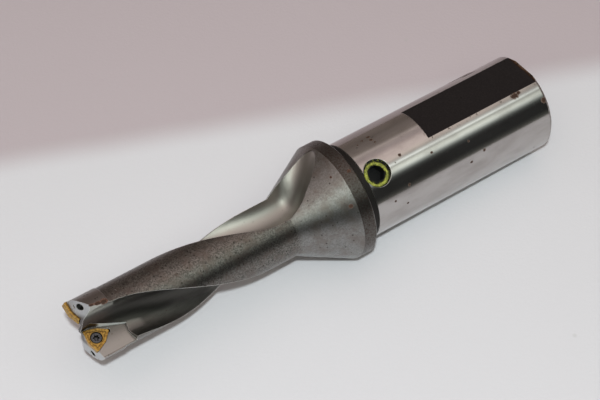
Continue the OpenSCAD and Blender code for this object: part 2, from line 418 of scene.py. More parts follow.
def lamp_place():
    """Where the lamp hangs, just above the camera."""
    return look_from(CAMERA_AIM, LAMP_HEADING, LAMP_ELEVATION, LAMP_DISTANCE)


def make_world():
    """Long soft strips of light parallel to the drill, dark low on the camera's side."""
    world = bpy.data.worlds.new("studio")
    bpy.context.scene.world = world
    world.use_nodes = True
    nodes = Nodes(world.node_tree)
    toward = nodes.add("ShaderNodeTexCoord").outputs["Generated"]
    up = nodes.dot(toward, tuple(table_up))
    across = nodes.dot(toward, tuple(table_across))
    along = nodes.dot(toward, tuple(table_along))
    angle = nodes.math("ARCTAN2", across, up)
    place = nodes.math("ADD", nodes.math("DIVIDE", angle, 2 * math.pi), 0.5)
    colour = nodes.ramp(place, [(a / 360 + 0.5, c) for a, c in SURROUNDINGS])
    rear = nodes.step(along, *REAR_ALONG)
    far_tip = nodes.product(nodes.step(along, *FAR_TIP_ALONG), nodes.step(across, *FAR_TIP_ACROSS))
    tip = nodes.step(along, *TIP_ALONG)
    share = nodes.product(
        nodes.blend(rear, 1.0, REAR_SHARE),
        nodes.blend(far_tip, 1.0, FAR_TIP_SHARE),
        nodes.blend(tip, 1.0, TIP_SHARE),
    )
    lamp_way = (lamp_place() - CAMERA_AIM).normalized()
    beside = nodes.dot(toward, tuple(lamp_way))
    fade = nodes.step(beside, *(math.cos(math.radians(a)) for a in GLOW_EDGE))
    strength = nodes.math("ADD", share, nodes.math("MULTIPLY", fade, GLOW))
    light = nodes.add("ShaderNodeBackground", {"Color": colour, "Strength": strength})
    nodes.put(nodes.add("ShaderNodeOutputWorld").inputs["Surface"], light.outputs[0])


def make_lamp():
    """A small lamp for the shadows; its reflection is the soft glow of the surroundings."""
    data = bpy.data.lights.new("lamp", "AREA")
    data.shape = "DISK"
    data.size = LAMP_SIZE
    data.energy = LAMP_POWER
    data.color = LAMP_COLOUR
    lamp = bpy.data.objects.new("lamp", data)
    bpy.context.collection.objects.link(lamp)
    lamp.visible_glossy = False
    place = lamp_place()
    turn = (CAMERA_AIM - place).to_track_quat("-Z", "Y").to_matrix().to_4x4()
    lamp.matrix_world = Matrix.Translation(place) @ turn


# Masks that several of the drill's materials share

# Cosine between true and rounded normal where an edge starts to show and shows in full
EDGE_TURN = (0.985, 0.85)
EDGE_SAMPLES = 6
CLOSENESS_SAMPLES = 8
# Noise values between which a finish goes from glossy to dull
GLOSS_RANGE = (0.3, 0.7)


def part_place(nodes):
    """Place on the part as a vector in millimetres."""
    return nodes.scaled(nodes.add("ShaderNodeTexCoord").outputs["Object"], 1 / MM)


def streaks(nodes, place, across, along, detail):
    """Noise with other waves per millimetre across the axis than along it."""
    return nodes.noise(nodes.vector("MULTIPLY", place, (across, across, along)), 1.0, detail)


def rounded(nodes, radius):
    """Normal with edges rounded to that radius in millimetres, and a mask near 1 on sharp edges."""
    round_normal = nodes.add("ShaderNodeBevel", {"Radius": radius * MM}, samples=EDGE_SAMPLES).outputs[0]
    true_normal = nodes.add("ShaderNodeNewGeometry").outputs["Normal"]
    return round_normal, nodes.step(nodes.dot(round_normal, true_normal), *EDGE_TURN)


def closeness(nodes, reach):
    """Near 1 in hollows that are narrow for that reach in millimetres, 0 on open faces."""
    node = nodes.add("ShaderNodeAmbientOcclusion", {"Distance": reach * MM}, samples=CLOSENESS_SAMPLES)
    return nodes.inverse(node.outputs["AO"])


def from_axis(nodes, place, centre, axis):
    """Distance from a straight line."""
    offset = nodes.vector("SUBTRACT", place, tuple(centre))
    return nodes.length(nodes.vector("CROSS_PRODUCT", offset, tuple(axis)))


# Body steel: zones, in millimetres

BORDER = 0.05
FINE_BORDER = 0.02
# Depths under the turned outline, and heights, between which a cut sets in
CUT_DEPTH = (0.08, 0.3)
CUT_START = (SHANK_LEN + 1.0, SHANK_LEN + 2.0)
BARREL_START = (CONE_Z - 1.2, CONE_Z + 0.6)
SCOOP_START = (RIM_Z, RIM_Z + 2.0)
SCOOP_END = (CONE_Z, CONE_Z - 5.0)
# Where the flutes turn from lighter, towards the shank, to darker, towards the tip
FRONT_START = (112.0, 126.0)
# Pale end faces: part of their normal along the axis, and height
END_FACING = (0.80, 0.9)
END_START = (TIP_Z - 8.0, TIP_Z - 6.0)
# Floors of the chip spaces: part of their normal across the inserts, and height
CHIP_FACING = (0.95, 0.98)
CHIP_START = (TIP_Z - 19.5, TIP_Z - 17.5)
# Lighter painted patch on the far wall of a chip space, a painted reflection standing in for a flat facet
# that the smooth wall lacks: height, distance from the axis and share
FACET_START = (TIP_Z - 12.1, TIP_Z - 11.5)
FACET_R = (5.2, 6.6)
FACET_SHARE = 0.75
# Painted highlight on the narrow wall beside the central insert, picked by the way it faces: that facing, how
# closely, height and distance from the axis
WALL_FACING = (-0.87, 0.33, 0.37)
WALL_TURN = (0.96, 0.985)
WALL_START = (TIP_Z - 18.5, TIP_Z - 17.5)
WALL_END = (TIP_Z - 5.0, TIP_Z - 6.5)
WALL_R = (6.0, 5.0)
# Insides of the coolant holes, painted with shade: distance from the hole's axis, and height
MOUTH_EDGE = (MOUTH_R + 0.10, MOUTH_R + 0.03)
MOUTH_START = (HEAD_Z - 0.5, HEAD_Z + 0.5)


def steel_zones(nodes, place):
    """Coordinates on the body and masks of its zones."""
    x, y, z = nodes.add("ShaderNodeSeparateXYZ", {0: place}).outputs
    radius = nodes.math("SQRT", nodes.math("ADD", nodes.product(x, x), nodes.product(y, y)))
    facing = nodes.add("ShaderNodeNewGeometry").outputs["Normal"]
    upward = nodes.dot(facing, (0.0, 0.0, 1.0))
    turn = math.radians(INSERT_ANGLE)
    across_insert = nodes.math("ABSOLUTE", nodes.dot(facing, (-math.sin(turn), math.cos(turn), 0.0)))

    outline = nodes.step(z, RIM_Z, CONE_Z, COLLAR_R, BODY_R, "LINEAR")
    depth = nodes.math("SUBTRACT", outline, radius)
    cut = nodes.product(nodes.step(depth, *CUT_DEPTH), nodes.step(z, *CUT_START))
    end_face = nodes.product(nodes.step(upward, *END_FACING), nodes.step(z, *END_START))
    chip_floor = nodes.product(nodes.step(across_insert, *CHIP_FACING), nodes.step(z, *CHIP_START))
    return SimpleNamespace(
        x=x, y=y, z=z, radius=radius, cut=cut, end_face=end_face, chip_floor=chip_floor,
        shank=nodes.step(z, NECK_Z + BORDER, NECK_Z - BORDER),
        neck=nodes.product(
            nodes.step(z, NECK_Z - FINE_BORDER, NECK_Z + FINE_BORDER),
            nodes.step(z, SHANK_LEN + BORDER, SHANK_LEN - FINE_BORDER),
        ),
        flat=nodes.product(
            nodes.step(y, FLAT_Y + 3 * FINE_BORDER, FLAT_Y + FINE_BORDER),
            nodes.step(z, FLAT_LEN + 2 * BORDER, FLAT_LEN + FINE_BORDER),
        ),
        rim=nodes.product(
            nodes.step(z, SHANK_LEN - FINE_BORDER, SHANK_LEN + FINE_BORDER),
            nodes.step(z, RIM_Z + BORDER, RIM_Z - BORDER),
        ),
        barrel=nodes.step(z, *BARREL_START),
        head=nodes.step(z, HEAD_Z - BORDER, HEAD_Z + BORDER),
        front=nodes.step(z, *FRONT_START),
        scoop=nodes.product(cut, nodes.step(z, *SCOOP_START), nodes.step(z, *SCOOP_END)),
        facet_sheen=nodes.product(
            cut, nodes.inverse(chip_floor), nodes.step(z, *FACET_START), nodes.step(radius, *FACET_R),
            nodes.inverse(end_face), FACET_SHARE,
        ),
        wall_sheen=nodes.product(
            nodes.step(nodes.dot(facing, WALL_FACING), *WALL_TURN), nodes.step(z, *WALL_START),
            nodes.step(z, *WALL_END), nodes.step(radius, *WALL_R),
        ),
    )


def coolant_hole_shade(nodes, place, zone, side):
    """Mask of the painted shade inside a coolant hole at the tip."""
    flat_turn = math.atan2(MOUTH_Y, MOUTH_X)
    turn = Matrix.Rotation(math.radians(INSERT_ANGLE + 180 * side), 3, "Z")
    mouth = turn @ Vector((MOUTH_X, MOUTH_Y, MOUTH_Z))
    lean = Vector((0.0, math.sin(MOUTH_TILT), math.cos(MOUTH_TILT)))
    axis = turn @ (Matrix.Rotation(flat_turn, 3, "Z") @ lean)
    inside = nodes.step(from_axis(nodes, place, mouth, axis), *MOUTH_EDGE)
    return nodes.product(inside, nodes.step(zone.z, *MOUTH_START))


# Body steel: fine structures

# Waves per millimetre, detail and roughness of the noise
CLOUD = (0.22, 4.0, 0.6)
GRAIN = (1.9, 5.0, 0.75)
FINE = (4.0, 2.0)
RUST_CLOUD = (0.8, 4.0, 0.65)
RAGGED = (2.2, 3.0)
# Waves per millimetre across and along the axis, and detail
RINGS = (0.12, 9.0, 2.0)
SMEAR = (0.20, 0.08, 5.0)
MILLING = (1.2, 0.10, 3.0)


def steel_textures(nodes, place):
    """Noise in the sizes of the steel's fine structures."""
    return SimpleNamespace(
        cloud=nodes.noise(place, *CLOUD),
        grain=nodes.noise(place, *GRAIN),
        fine=nodes.noise(place, *FINE),
        rust=nodes.noise(place, *RUST_CLOUD),
        ragged=nodes.noise(place, *RAGGED),
        rings=streaks(nodes, place, *RINGS),
        smear=streaks(nodes, place, *SMEAR),
        milling=streaks(nodes, place, *MILLING),
    )


# Body steel: colours, each pair with the noise values between which it goes from one to the other

GROUND = (0.50, 0.48, 0.465)
GROUND_SMEAR = (0.40, 0.376, 0.362)
SMEAR_RANGE = (0.35, 0.7)
SATIN = (0.30, 0.30, 0.29)
SATIN_DARK = (0.215, 0.212, 0.204)
SATIN_RANGE = (0.40, 0.62)
SATIN_STAIN = (0.20, 0.175, 0.16)
STAIN_RANGE = (0.40, 0.75)
RIM = (0.14, 0.13, 0.12)
RIM_DARK = (0.078, 0.071, 0.065)
RIM_RANGE = (0.38, 0.62)
BARREL = (0.25, 0.238, 0.22)
BARREL_DARK = (0.105, 0.10, 0.092)
BARREL_RANGE = (0.38, 0.60)
BARREL_STAIN = (0.16, 0.135, 0.12)
FLUTE = (0.23, 0.223, 0.207)
FLUTE_DARK = (0.20, 0.193, 0.178)
MILLING_RANGE = (0.35, 0.7)
FLUTE_BACK = (0.46, 0.451, 0.422)
BLACK = (0.050, 0.046, 0.0475)
BLACK_LIGHT = (0.064, 0.059, 0.060)
BLACK_RANGE = (0.4, 0.7)
HEAD = (0.27, 0.245, 0.23)
PALE = (0.60, 0.61, 0.62)
NECK = (0.050, 0.047, 0.045)
# Lighter colour of the painted facet reflection on the far walls
FACET_SHEEN = (0.42, 0.405, 0.37)
# Floor of the chip spaces, and the distances from the axis between which it sets in
CHIP_FLOOR = (0.42, 0.40, 0.382)
CHIP_FLOOR_R = (2.5, 8.0)


def clean_steel(nodes, zone, texture):
    """Colour without dirt: ground shank, black flat, blasted collar and fluted part, milled flutes, and the
    painted reflection of the far walls' facets.
    """
    stain = nodes.step(texture.cloud, *STAIN_RANGE)
    ground = nodes.mix(nodes.step(texture.smear, *SMEAR_RANGE), GROUND, GROUND_SMEAR)
    collar = nodes.mix(nodes.step(texture.grain, *SATIN_RANGE), SATIN, SATIN_DARK)
    collar = nodes.mix(stain, collar, SATIN_STAIN)
    rim = nodes.mix(nodes.step(texture.grain, *RIM_RANGE), RIM, RIM_DARK)
    collar = nodes.mix(zone.rim, collar, rim)
    barrel = nodes.mix(nodes.step(texture.grain, *BARREL_RANGE), BARREL, BARREL_DARK)
    barrel = nodes.mix(stain, barrel, BARREL_STAIN)
    flute = nodes.mix(nodes.step(texture.milling, *MILLING_RANGE), FLUTE, FLUTE_DARK)
    flute = nodes.mix(zone.front, FLUTE_BACK, flute)
    soot = nodes.mix(nodes.step(texture.grain, *BLACK_RANGE), BLACK, BLACK_LIGHT)
    chip_floor = nodes.product(zone.cut, zone.chip_floor, nodes.step(zone.radius, *CHIP_FLOOR_R))

    colour = nodes.mix(zone.barrel, collar, barrel)
    colour = nodes.mix(zone.head, colour, HEAD)
    colour = nodes.mix(zone.cut, colour, flute)
    colour = nodes.mix(zone.end_face, colour, PALE)
    colour = nodes.mix(zone.shank, colour, ground)
    colour = nodes.mix(zone.neck, colour, NECK)
    colour = nodes.mix(zone.flat, colour, soot)
    colour = nodes.mix(chip_floor, colour, CHIP_FLOOR)
    return nodes.mix(zone.facet_sheen, colour, FACET_SHEEN)


# Body steel: painted shade in hollows, bare edges and the painted highlight on the narrow wall

# Near-black painted shade in creases, coolant holes, screws and deep in the flutes
PAINTED_SHADE = (0.014, 0.013, 0.011)
CREASE_SHADE_REACH = 2.5
CREASE_SHADE_RANGE = (0.50, 0.80)
# Painted shade deep in the flutes, turning brown near the tip
DEEP_SHADE_BROWN = (0.05, 0.026, 0.016)
DEEP_SHADE_BROWN_START = (TIP_Z - 12.5, TIP_Z - 5.5)
HOLLOW_REACH = 14.0
HOLLOW_RANGE_BACK = (0.50, 0.85)
HOLLOW_RANGE_FRONT = (0.30, 0.62)
HOLLOW_SHARE = 0.85
# Painted shade close to the flutes' axis: heights between which its outer radius falls, these two radii,
# softness and share
AXIS_SHADE_FALL = (122.0, 138.0)
AXIS_SHADE_R = (8.5, 5.0)
AXIS_SHADE_SOFT = 1.2
AXIS_SHADE_SHARE = 0.7
# Bare edges, whose bright colour also paints the highlight on the narrow wall: rounding, test that they are
# convex, and shares on shank and collar and on the fluted part
BARE_EDGE_AND_WALL_SHEEN = (0.80, 0.79, 0.76)
BODY_EDGE = 0.3
CONVEX_REACH = 1.0
CONVEX_RANGE = (0.62, 0.50)
EDGE_SHARES = (0.35, 0.95)


def deep_shade(nodes, zone):
    """Mask of the painted shade deep in the flutes: in their hollows, and close to the axis."""
    limits = [nodes.blend(zone.front, *pair) for pair in zip(HOLLOW_RANGE_BACK, HOLLOW_RANGE_FRONT)]
    hollow = nodes.step(closeness(nodes, HOLLOW_REACH), *limits)
    root = nodes.math("SUBTRACT", zone.radius, nodes.step(zone.z, *AXIS_SHADE_FALL, *AXIS_SHADE_R))
    inside = nodes.step(root, AXIS_SHADE_SOFT, -AXIS_SHADE_SOFT)
    axis_shade = nodes.product(zone.front, inside, nodes.inverse(zone.chip_floor), AXIS_SHADE_SHARE)
    return nodes.product(zone.cut, nodes.largest(nodes.product(hollow, HOLLOW_SHARE), axis_shade))


def bare_edges_and_wall_sheen(nodes, zone, wear):
    """Mask of the bare metal on convex edges, and of the painted highlight on the narrow wall at the tip."""
    convex = nodes.step(closeness(nodes, CONVEX_REACH), *CONVEX_RANGE)
    share = nodes.blend(nodes.largest(zone.cut, zone.barrel), *EDGE_SHARES)
    return nodes.largest(nodes.product(wear, convex, share), zone.wall_sheen)


# Body steel: dark specks

DARK_SPECK = (0.035, 0.027, 0.022)
SPECK_SCALE = 0.8
SPECK_EDGE = (0.31, 0.14)
# Share of the cells that hold a speck
SPECKS_COLLAR = 0.35
SPECKS_BARREL = 0.60
SPECKS_SHANK = 0.03
# Strength on the collar and on the fluted part, and how much of it the cuts lose
SPECK_SHARES = (0.72, 0.85)
CUT_CLEAN = 0.85


def specks(nodes, place, zone):
    """Mask of the dark specks, many on the fluted part and few on the shank."""
    near, lot = nodes.spots(place, SPECK_SCALE)
    many = nodes.blend(zone.shank, nodes.blend(zone.barrel, SPECKS_COLLAR, SPECKS_BARREL), SPECKS_SHANK)
    picked = nodes.step(lot, nodes.inverse(many), 1.0)
    uncut = nodes.inverse(nodes.product(zone.cut, CUT_CLEAN))
    strength = nodes.blend(zone.barrel, *SPECK_SHARES)
    return nodes.product(picked, nodes.step(near, *SPECK_EDGE), uncut, strength)


# Body steel: rust

RUST = (0.14, 0.050, 0.026)
RUST_SHANK = (0.085, 0.036, 0.014)
RUST_CORE = (0.035, 0.016, 0.010)
# Single spots: angle about the axis, height, size and stretch along the axis
MARKS = (
    (-119.2, 10.3, 1.0, 1.6), (-118.2, 8.6, 0.6, 1.3), (-139.0, 1.6, 1.0, 1.0), (-84.4, 59.9, 0.60, 1.0),
    (-78.0, 59.7, 0.50, 1.5), (-89.8, 59.5, 0.35, 1.0), (-79.0, 62.3, 0.38, 1.4), (-82.0, 64.6, 0.30, 1.0),
    (-118.0, 55.6, 0.55, 1.0), (-132.3, 45.6, 0.38, 1.2), (-140.2, 32.2, 0.42, 1.0),
    (-158.9, 27.7, 0.52, 1.0), (-165.2, 33.1, 0.45, 1.3), (-152.9, 56.8, 0.50, 1.0),
    (-163.3, 62.8, 0.40, 1.0), (-174.4, 58.5, 0.42, 1.0), (-45.0, 17.5, 0.9, 5.0), (-52.0, 15.0, 0.5, 6.0),
    (-140.7, 79.1, 0.6, 1.4), (-106.8, 80.0, 0.42, 1.0), (-111.2, 74.5, 0.5, 1.0), (-93.0, 162.6, 0.5, 2.2),
    (-95.5, 160.6, 0.7, 1.8), (-97.5, 158.8, 1.0, 1.2),
)
# Edge of a spot and of its core, in sizes of the spot, and how far noise frays it
MARK_EDGE = (1.15, 0.85)
CORE_EDGE = (0.95, 0.60)
MARK_FRAY = 1.4
MARK_SHARE = 0.9
# Rear edge of the shank: height, noise values and share
REAR_RUST_END = (1.5, 0.5)
REAR_RUST_RANGE = (0.30, 0.50)
REAR_RUST_SHARE = 0.85
# Edge of the clamping flat: above the flat, past its end, noise values and share
FLAT_RUST_RISE = (FLAT_Y + 0.8, FLAT_Y + 0.1)
FLAT_RUST_END = (FLAT_LEN + 1.0, FLAT_LEN)
FLAT_RUST_RANGE = (0.56, 0.68)
FLAT_RUST_SHARE = 0.8
# Patches in front of the shank, and freckles on the collar's rim: noise values and share
PATCH_RANGE = (0.68, 0.76)
PATCH_SHARE = 0.6
RIM_RUST_RANGE = (0.50, 0.66)
RIM_RUST_SHARE = 0.35


def rust_marks(nodes, place, texture):
    """Masks of the single rust spots and of their dark cores."""
    fray = nodes.product(nodes.math("SUBTRACT", texture.ragged, 0.5), MARK_FRAY)
    spot, core = 0.0, 0.0
    for angle, z, size, stretch in MARKS:
        turn = math.radians(angle)
        radius = outer_radius(z)
        centre = (radius * math.cos(turn), radius * math.sin(turn), z)
        offset = nodes.vector("SUBTRACT", place, centre)
        offset = nodes.vector("MULTIPLY", offset, (1 / size, 1 / size, 1 / size / stretch))
        reach = nodes.math("ADD", nodes.length(offset), fray)
        spot = nodes.largest(spot, nodes.step(reach, *MARK_EDGE))
        core = nodes.largest(core, nodes.step(reach, *CORE_EDGE))
    return spot, core


def rust_cover(nodes, zone, texture, spot):
    """Mask of all the rust."""
    rear = nodes.product(
        nodes.step(zone.z, *REAR_RUST_END), nodes.step(texture.rust, *REAR_RUST_RANGE), REAR_RUST_SHARE,
    )
    flat = nodes.product(
        nodes.step(zone.y, *FLAT_RUST_RISE), nodes.step(zone.z, *FLAT_RUST_END),
        nodes.step(texture.rust, *FLAT_RUST_RANGE), nodes.inverse(zone.flat), FLAT_RUST_SHARE,
    )
    patches = nodes.product(nodes.step(texture.rust, *PATCH_RANGE), nodes.inverse(zone.shank), PATCH_SHARE)
    rim = nodes.product(zone.rim, nodes.step(texture.grain, *RIM_RUST_RANGE), RIM_RUST_SHARE)
    return nodes.largest(rear, flat, patches, rim, nodes.product(spot, MARK_SHARE))


# Body steel: gloss and relief

# Roughness, as a pair where noise varies it
SHANK_GLOSS = (0.085, 0.14)
SATIN_GLOSS = (0.29, 0.38)
SATIN_GLOSS_RANGE = (0.35, 0.65)
# Flutes: towards the shank and towards the tip
FLUTE_GLOSS = (0.40, 0.42)
SCOOP_GLOSS = 0.42
FACE_GLOSS = 0.5
BLACK_GLOSS = 0.6
DIRT_GLOSS = 0.75
# Metal share where the facets' reflection and the wall's highlight are painted, and the dirt that covers the
# metal
FACE_METAL = 0.3
DIRT_COVER = (0.6, 0.9)
# Lean of the scoops' shading normal: sideways, and outward in their wide part
SCOOP_TILT = 0.2
SCOOP_LIFT = 0.24
SCOOP_LIFT_R = (7.5, 14.0)
# Relief: strength, and depth in millimetres
RINGS_BUMP = (0.05, 0.02)
GRAIN_BUMP = (0.45, 0.10)
GRAIN_BUMP_CUT = 0.40
FINE_BUMP = (0.15, 0.04)
FINE_BUMP_SHANK = 0.01
MILLING_BUMP = (0.08, 0.03)


def steel_roughness(nodes, zone, texture, soiled_and_shaded):
    """Roughness of the body's zones, dull where it is soiled and where shade is painted."""
    shank = nodes.blend(nodes.step(texture.smear, *GLOSS_RANGE), *SHANK_GLOSS)
    rough = nodes.blend(nodes.step(texture.grain, *SATIN_GLOSS_RANGE), *SATIN_GLOSS)
    rough = nodes.blend(zone.cut, rough, nodes.blend(zone.front, *FLUTE_GLOSS))
    rough = nodes.blend(zone.scoop, rough, SCOOP_GLOSS)
    rough = nodes.blend(nodes.largest(zone.end_face, zone.facet_sheen), rough, FACE_GLOSS)
    rough = nodes.blend(zone.shank, rough, shank)
    rough = nodes.blend(nodes.largest(zone.flat, zone.neck), rough, BLACK_GLOSS)
    return nodes.blend(soiled_and_shaded, rough, DIRT_GLOSS)


def scoop_lean(nodes, zone):
    """Lean of the scoops' shading normal, sideways and outward."""
    sideways = nodes.add("ShaderNodeCombineXYZ", {0: nodes.product(zone.y, -1.0), 1: zone.x}).outputs[0]
    outward = nodes.add("ShaderNodeCombineXYZ", {0: zone.x, 1: zone.y}).outputs[0]
    lift_share = nodes.product(zone.scoop, nodes.step(zone.radius, *SCOOP_LIFT_R), SCOOP_LIFT)
    tilt = nodes.scaled(nodes.vector("NORMALIZE", sideways), nodes.product(zone.scoop, SCOOP_TILT))
    lift = nodes.scaled(nodes.vector("NORMALIZE", outward), lift_share)
    return nodes.vector("ADD", tilt, lift)


def steel_normal(nodes, zone, texture, edge_normal):
    """Normal with turning rings, pits and milling marks."""
    normal = nodes.vector("NORMALIZE", nodes.vector("ADD", edge_normal, scoop_lean(nodes, zone)))
    strength, depth = RINGS_BUMP
    normal = nodes.bump(texture.rings, nodes.product(zone.shank, strength), depth * MM, normal)
    strength, depth = GRAIN_BUMP
    strength = nodes.blend(zone.shank, strength, 0.0)
    strength = nodes.math("SUBTRACT", strength, nodes.product(zone.cut, GRAIN_BUMP_CUT))
    normal = nodes.bump(texture.grain, strength, depth * MM, normal)
    strength, depth = FINE_BUMP
    strength = nodes.blend(zone.shank, strength, FINE_BUMP_SHANK)
    normal = nodes.bump(texture.fine, strength, depth * MM, normal)
    strength, depth = MILLING_BUMP
    return nodes.bump(texture.milling, nodes.product(zone.cut, strength), depth * MM, normal)


def steel_material():
    """Body steel: clean finishes, then painted shade in hollows, bare edges, a painted highlight on the
    narrow wall, specks and rust.
    """
    material, nodes = new_material("body_steel")
    place = part_place(nodes)
    zone = steel_zones(nodes, place)
    texture = steel_textures(nodes, place)
    edge_normal, wear = rounded(nodes, BODY_EDGE)

    # Painted shade in creases and inside the coolant holes
    grime_and_shade = nodes.step(closeness(nodes, CREASE_SHADE_REACH), *CREASE_SHADE_RANGE)
    for side in (0, 1):
        grime_and_shade = nodes.largest(grime_and_shade, coolant_hole_shade(nodes, place, zone, side))
    speck = specks(nodes, place, zone)
    spot, core = rust_marks(nodes, place, texture)
    rust = rust_cover(nodes, zone, texture, spot)
    dirt = nodes.largest(rust, speck, core)

    colour = clean_steel(nodes, zone, texture)
    # Painted shade deep in the flutes, turning brown near the tip
    deep_colour = nodes.mix(nodes.step(zone.z, *DEEP_SHADE_BROWN_START), PAINTED_SHADE, DEEP_SHADE_BROWN)
    colour = nodes.mix(deep_shade(nodes, zone), colour, deep_colour)
    colour = nodes.mix(grime_and_shade, colour, PAINTED_SHADE)
    # Bare edges, and the painted highlight on the narrow wall
    colour = nodes.mix(bare_edges_and_wall_sheen(nodes, zone, wear), colour, BARE_EDGE_AND_WALL_SHEEN)
    colour = nodes.mix(speck, colour, DARK_SPECK)
    colour = nodes.mix(rust, colour, nodes.mix(zone.shank, RUST, RUST_SHANK))
    colour = nodes.mix(core, colour, RUST_CORE)

    clean_metal = nodes.blend(nodes.largest(zone.wall_sheen, zone.facet_sheen), 1.0, FACE_METAL)
    finish_material(nodes, {
        "Base Color": colour,
        "Roughness": steel_roughness(nodes, zone, texture, nodes.largest(dirt, grime_and_shade)),
        "Metallic": nodes.math("SUBTRACT", clean_metal, nodes.step(dirt, *DIRT_COVER), clamp=True),
        "Normal": steel_normal(nodes, zone, texture, edge_normal),
    })
    return material


# Inserts

GOLD = (0.60, 0.385, 0.10)
GOLD_DARK = (0.34, 0.193, 0.050)
GOLD_RANGE = (0.42, 0.60)
GOLD_CLOUD = (1.5, 4.0)
GOLD_FINE = (5.0, 3.0)
GOLD_EDGE = (0.72, 0.52, 0.24)
# Dark colour of the soil and of the painted shade in the grooves
GOLD_SOIL_AND_SHADE = (0.085, 0.048, 0.018)
GROOVE_SHADE_RANGE = (0.05, 0.28)
GROOVE_SHADE_SHARE = 0.9
SOIL_RANGE = (0.51, 0.68)
SOIL_SHARE = 0.5
GOLD_GLOSS = (0.32, 0.46)
GOLD_BUMP = (0.15, 0.03 * MM)
# Rounding of the small pieces' edges, share of their edge colour, and reach of the painted shade in their
# grooves and sockets
SMALL_EDGE = 0.12
SMALL_EDGE_SHARE = 0.5
SMALL_REACH = 0.8


def insert_material():
    """Gold-coloured coating with dark soil, painted shade in its grooves and bright edges."""
    material, nodes = new_material("insert_coating")
    place = part_place(nodes)
    fine = nodes.noise(place, *GOLD_FINE)
    edge_normal, wear = rounded(nodes, SMALL_EDGE)
    # Painted shade in the grooves
    groove_shade = nodes.step(closeness(nodes, SMALL_REACH), *GROOVE_SHADE_RANGE)
    soil = nodes.step(fine, *SOIL_RANGE)
    colour = nodes.mix(nodes.step(nodes.noise(place, *GOLD_CLOUD), *GOLD_RANGE), GOLD, GOLD_DARK)
    colour = nodes.mix(nodes.product(wear, SMALL_EDGE_SHARE), colour, GOLD_EDGE)
    colour = nodes.mix(nodes.product(groove_shade, GROOVE_SHADE_SHARE), colour, GOLD_SOIL_AND_SHADE)
    colour = nodes.mix(nodes.product(soil, SOIL_SHARE), colour, GOLD_SOIL_AND_SHADE)
    finish_material(nodes, {
        "Base Color": colour,
        "Roughness": nodes.blend(nodes.step(fine, *GLOSS_RANGE), *GOLD_GLOSS),
        "Metallic": 1.0,
        "Normal": nodes.bump(fine, *GOLD_BUMP, edge_normal),
    })
    return material


# Screws of the inserts

SCREW = (0.11, 0.115, 0.126)
SCREW_DARK = (0.050, 0.052, 0.057)
SCREW_RANGE = (0.35, 0.7)
SCREW_FINE = (4.0, 3.0)
SCREW_EDGE = (0.42, 0.43, 0.46)
# Closeness values between which the socket's painted shade sets in
SOCKET_SHADE_RANGE = (0.10, 0.35)
# Distances from the screw's axis between which the painted shade round the head's rim sets in
SCREW_RIM_SHADE = (1.50, 1.62)
SCREW_METAL = 0.9
SCREW_GLOSS = (0.18, 0.30)
SCREW_BUMP = (0.1, 0.02 * MM)


def screw_material(name, side, spot):
    """Dark, oily screw steel, with painted shade round the head's rim and in its socket."""
    material, nodes = new_material(name)
    place = part_place(nodes)
    turn = math.radians(INSERT_ANGLE + 180 * side)
    outward = Vector((math.cos(turn), math.sin(turn), 0.0))
    axis = Vector((-outward.y, outward.x, 0.0))
    beside = from_axis(nodes, place, outward * spot[0] + Vector((0.0, 0.0, spot[1])), axis)
    fine = nodes.noise(place, *SCREW_FINE)
    edge_normal, wear = rounded(nodes, SMALL_EDGE)
    # Painted shade in the socket and round the head's rim
    socket = nodes.step(closeness(nodes, SMALL_REACH), *SOCKET_SHADE_RANGE)
    colour = nodes.mix(nodes.step(fine, *SCREW_RANGE), SCREW, SCREW_DARK)
    colour = nodes.mix(nodes.product(wear, SMALL_EDGE_SHARE), colour, SCREW_EDGE)
    colour = nodes.mix(nodes.largest(nodes.step(beside, *SCREW_RIM_SHADE), socket), colour, PAINTED_SHADE)
    finish_material(nodes, {
        "Base Color": colour,
        "Roughness": nodes.blend(nodes.step(fine, *GLOSS_RANGE), *SCREW_GLOSS),
        "Metallic": SCREW_METAL,
        "Normal": nodes.bump(fine, *SCREW_BUMP, edge_normal),
    })
    return material


# Side plug and its sealant

PLUG = (0.006, 0.006, 0.006)
PLUG_FINE = (1.4, 4.0, 0.6)
PLUG_SMEAR_RANGE = (0.50, 0.62)
# Distances from the plug's axis between which the smeared sealant sets in
PLUG_SMEAR_R = (2.7, 3.0)
PLUG_SMEAR_SHARE = 0.5
PLUG_GLOSS = (0.55, 0.7)
PLUG_SPECULAR = 0.15
PLUG_BUMP = (0.2, 0.05 * MM)
SEALANT = (0.33, 0.33, 0.05)
SEALANT_DARK = (0.18, 0.185, 0.028)
SEALANT_RANGE = (0.35, 0.65)
SEALANT_CLOUD = (0.9, 4.0, 0.6)
SEALANT_FINE = (3.0, 4.0, 0.6)
SEALANT_GRIME = (0.035, 0.035, 0.018)
SEALANT_GRIME_RANGE = (0.49, 0.61)
SEALANT_GRIME_SHARE = 0.85
SEALANT_GLOSS = (0.42, 0.7)
SEALANT_BUMP = (0.6, 0.15 * MM)


def plug_material():
    """Dark set screw with sealant smeared over its rim."""
    material, nodes = new_material("plug_steel")
    place = part_place(nodes)
    out = Vector((math.cos(PORT_ANGLE), math.sin(PORT_ANGLE), 0.0))
    beside = from_axis(nodes, place, (0.0, 0.0, PORT_Z), out)
    fine = nodes.noise(place, *PLUG_FINE)
    smear = nodes.product(
        nodes.step(fine, *PLUG_SMEAR_RANGE), nodes.step(beside, *PLUG_SMEAR_R), PLUG_SMEAR_SHARE,
    )
    finish_material(nodes, {
        "Base Color": nodes.mix(smear, PLUG, SEALANT_DARK),
        "Roughness": nodes.blend(smear, *PLUG_GLOSS),
        "Specular IOR Level": PLUG_SPECULAR,
        "Normal": nodes.bump(fine, *PLUG_BUMP),
    })
    return material


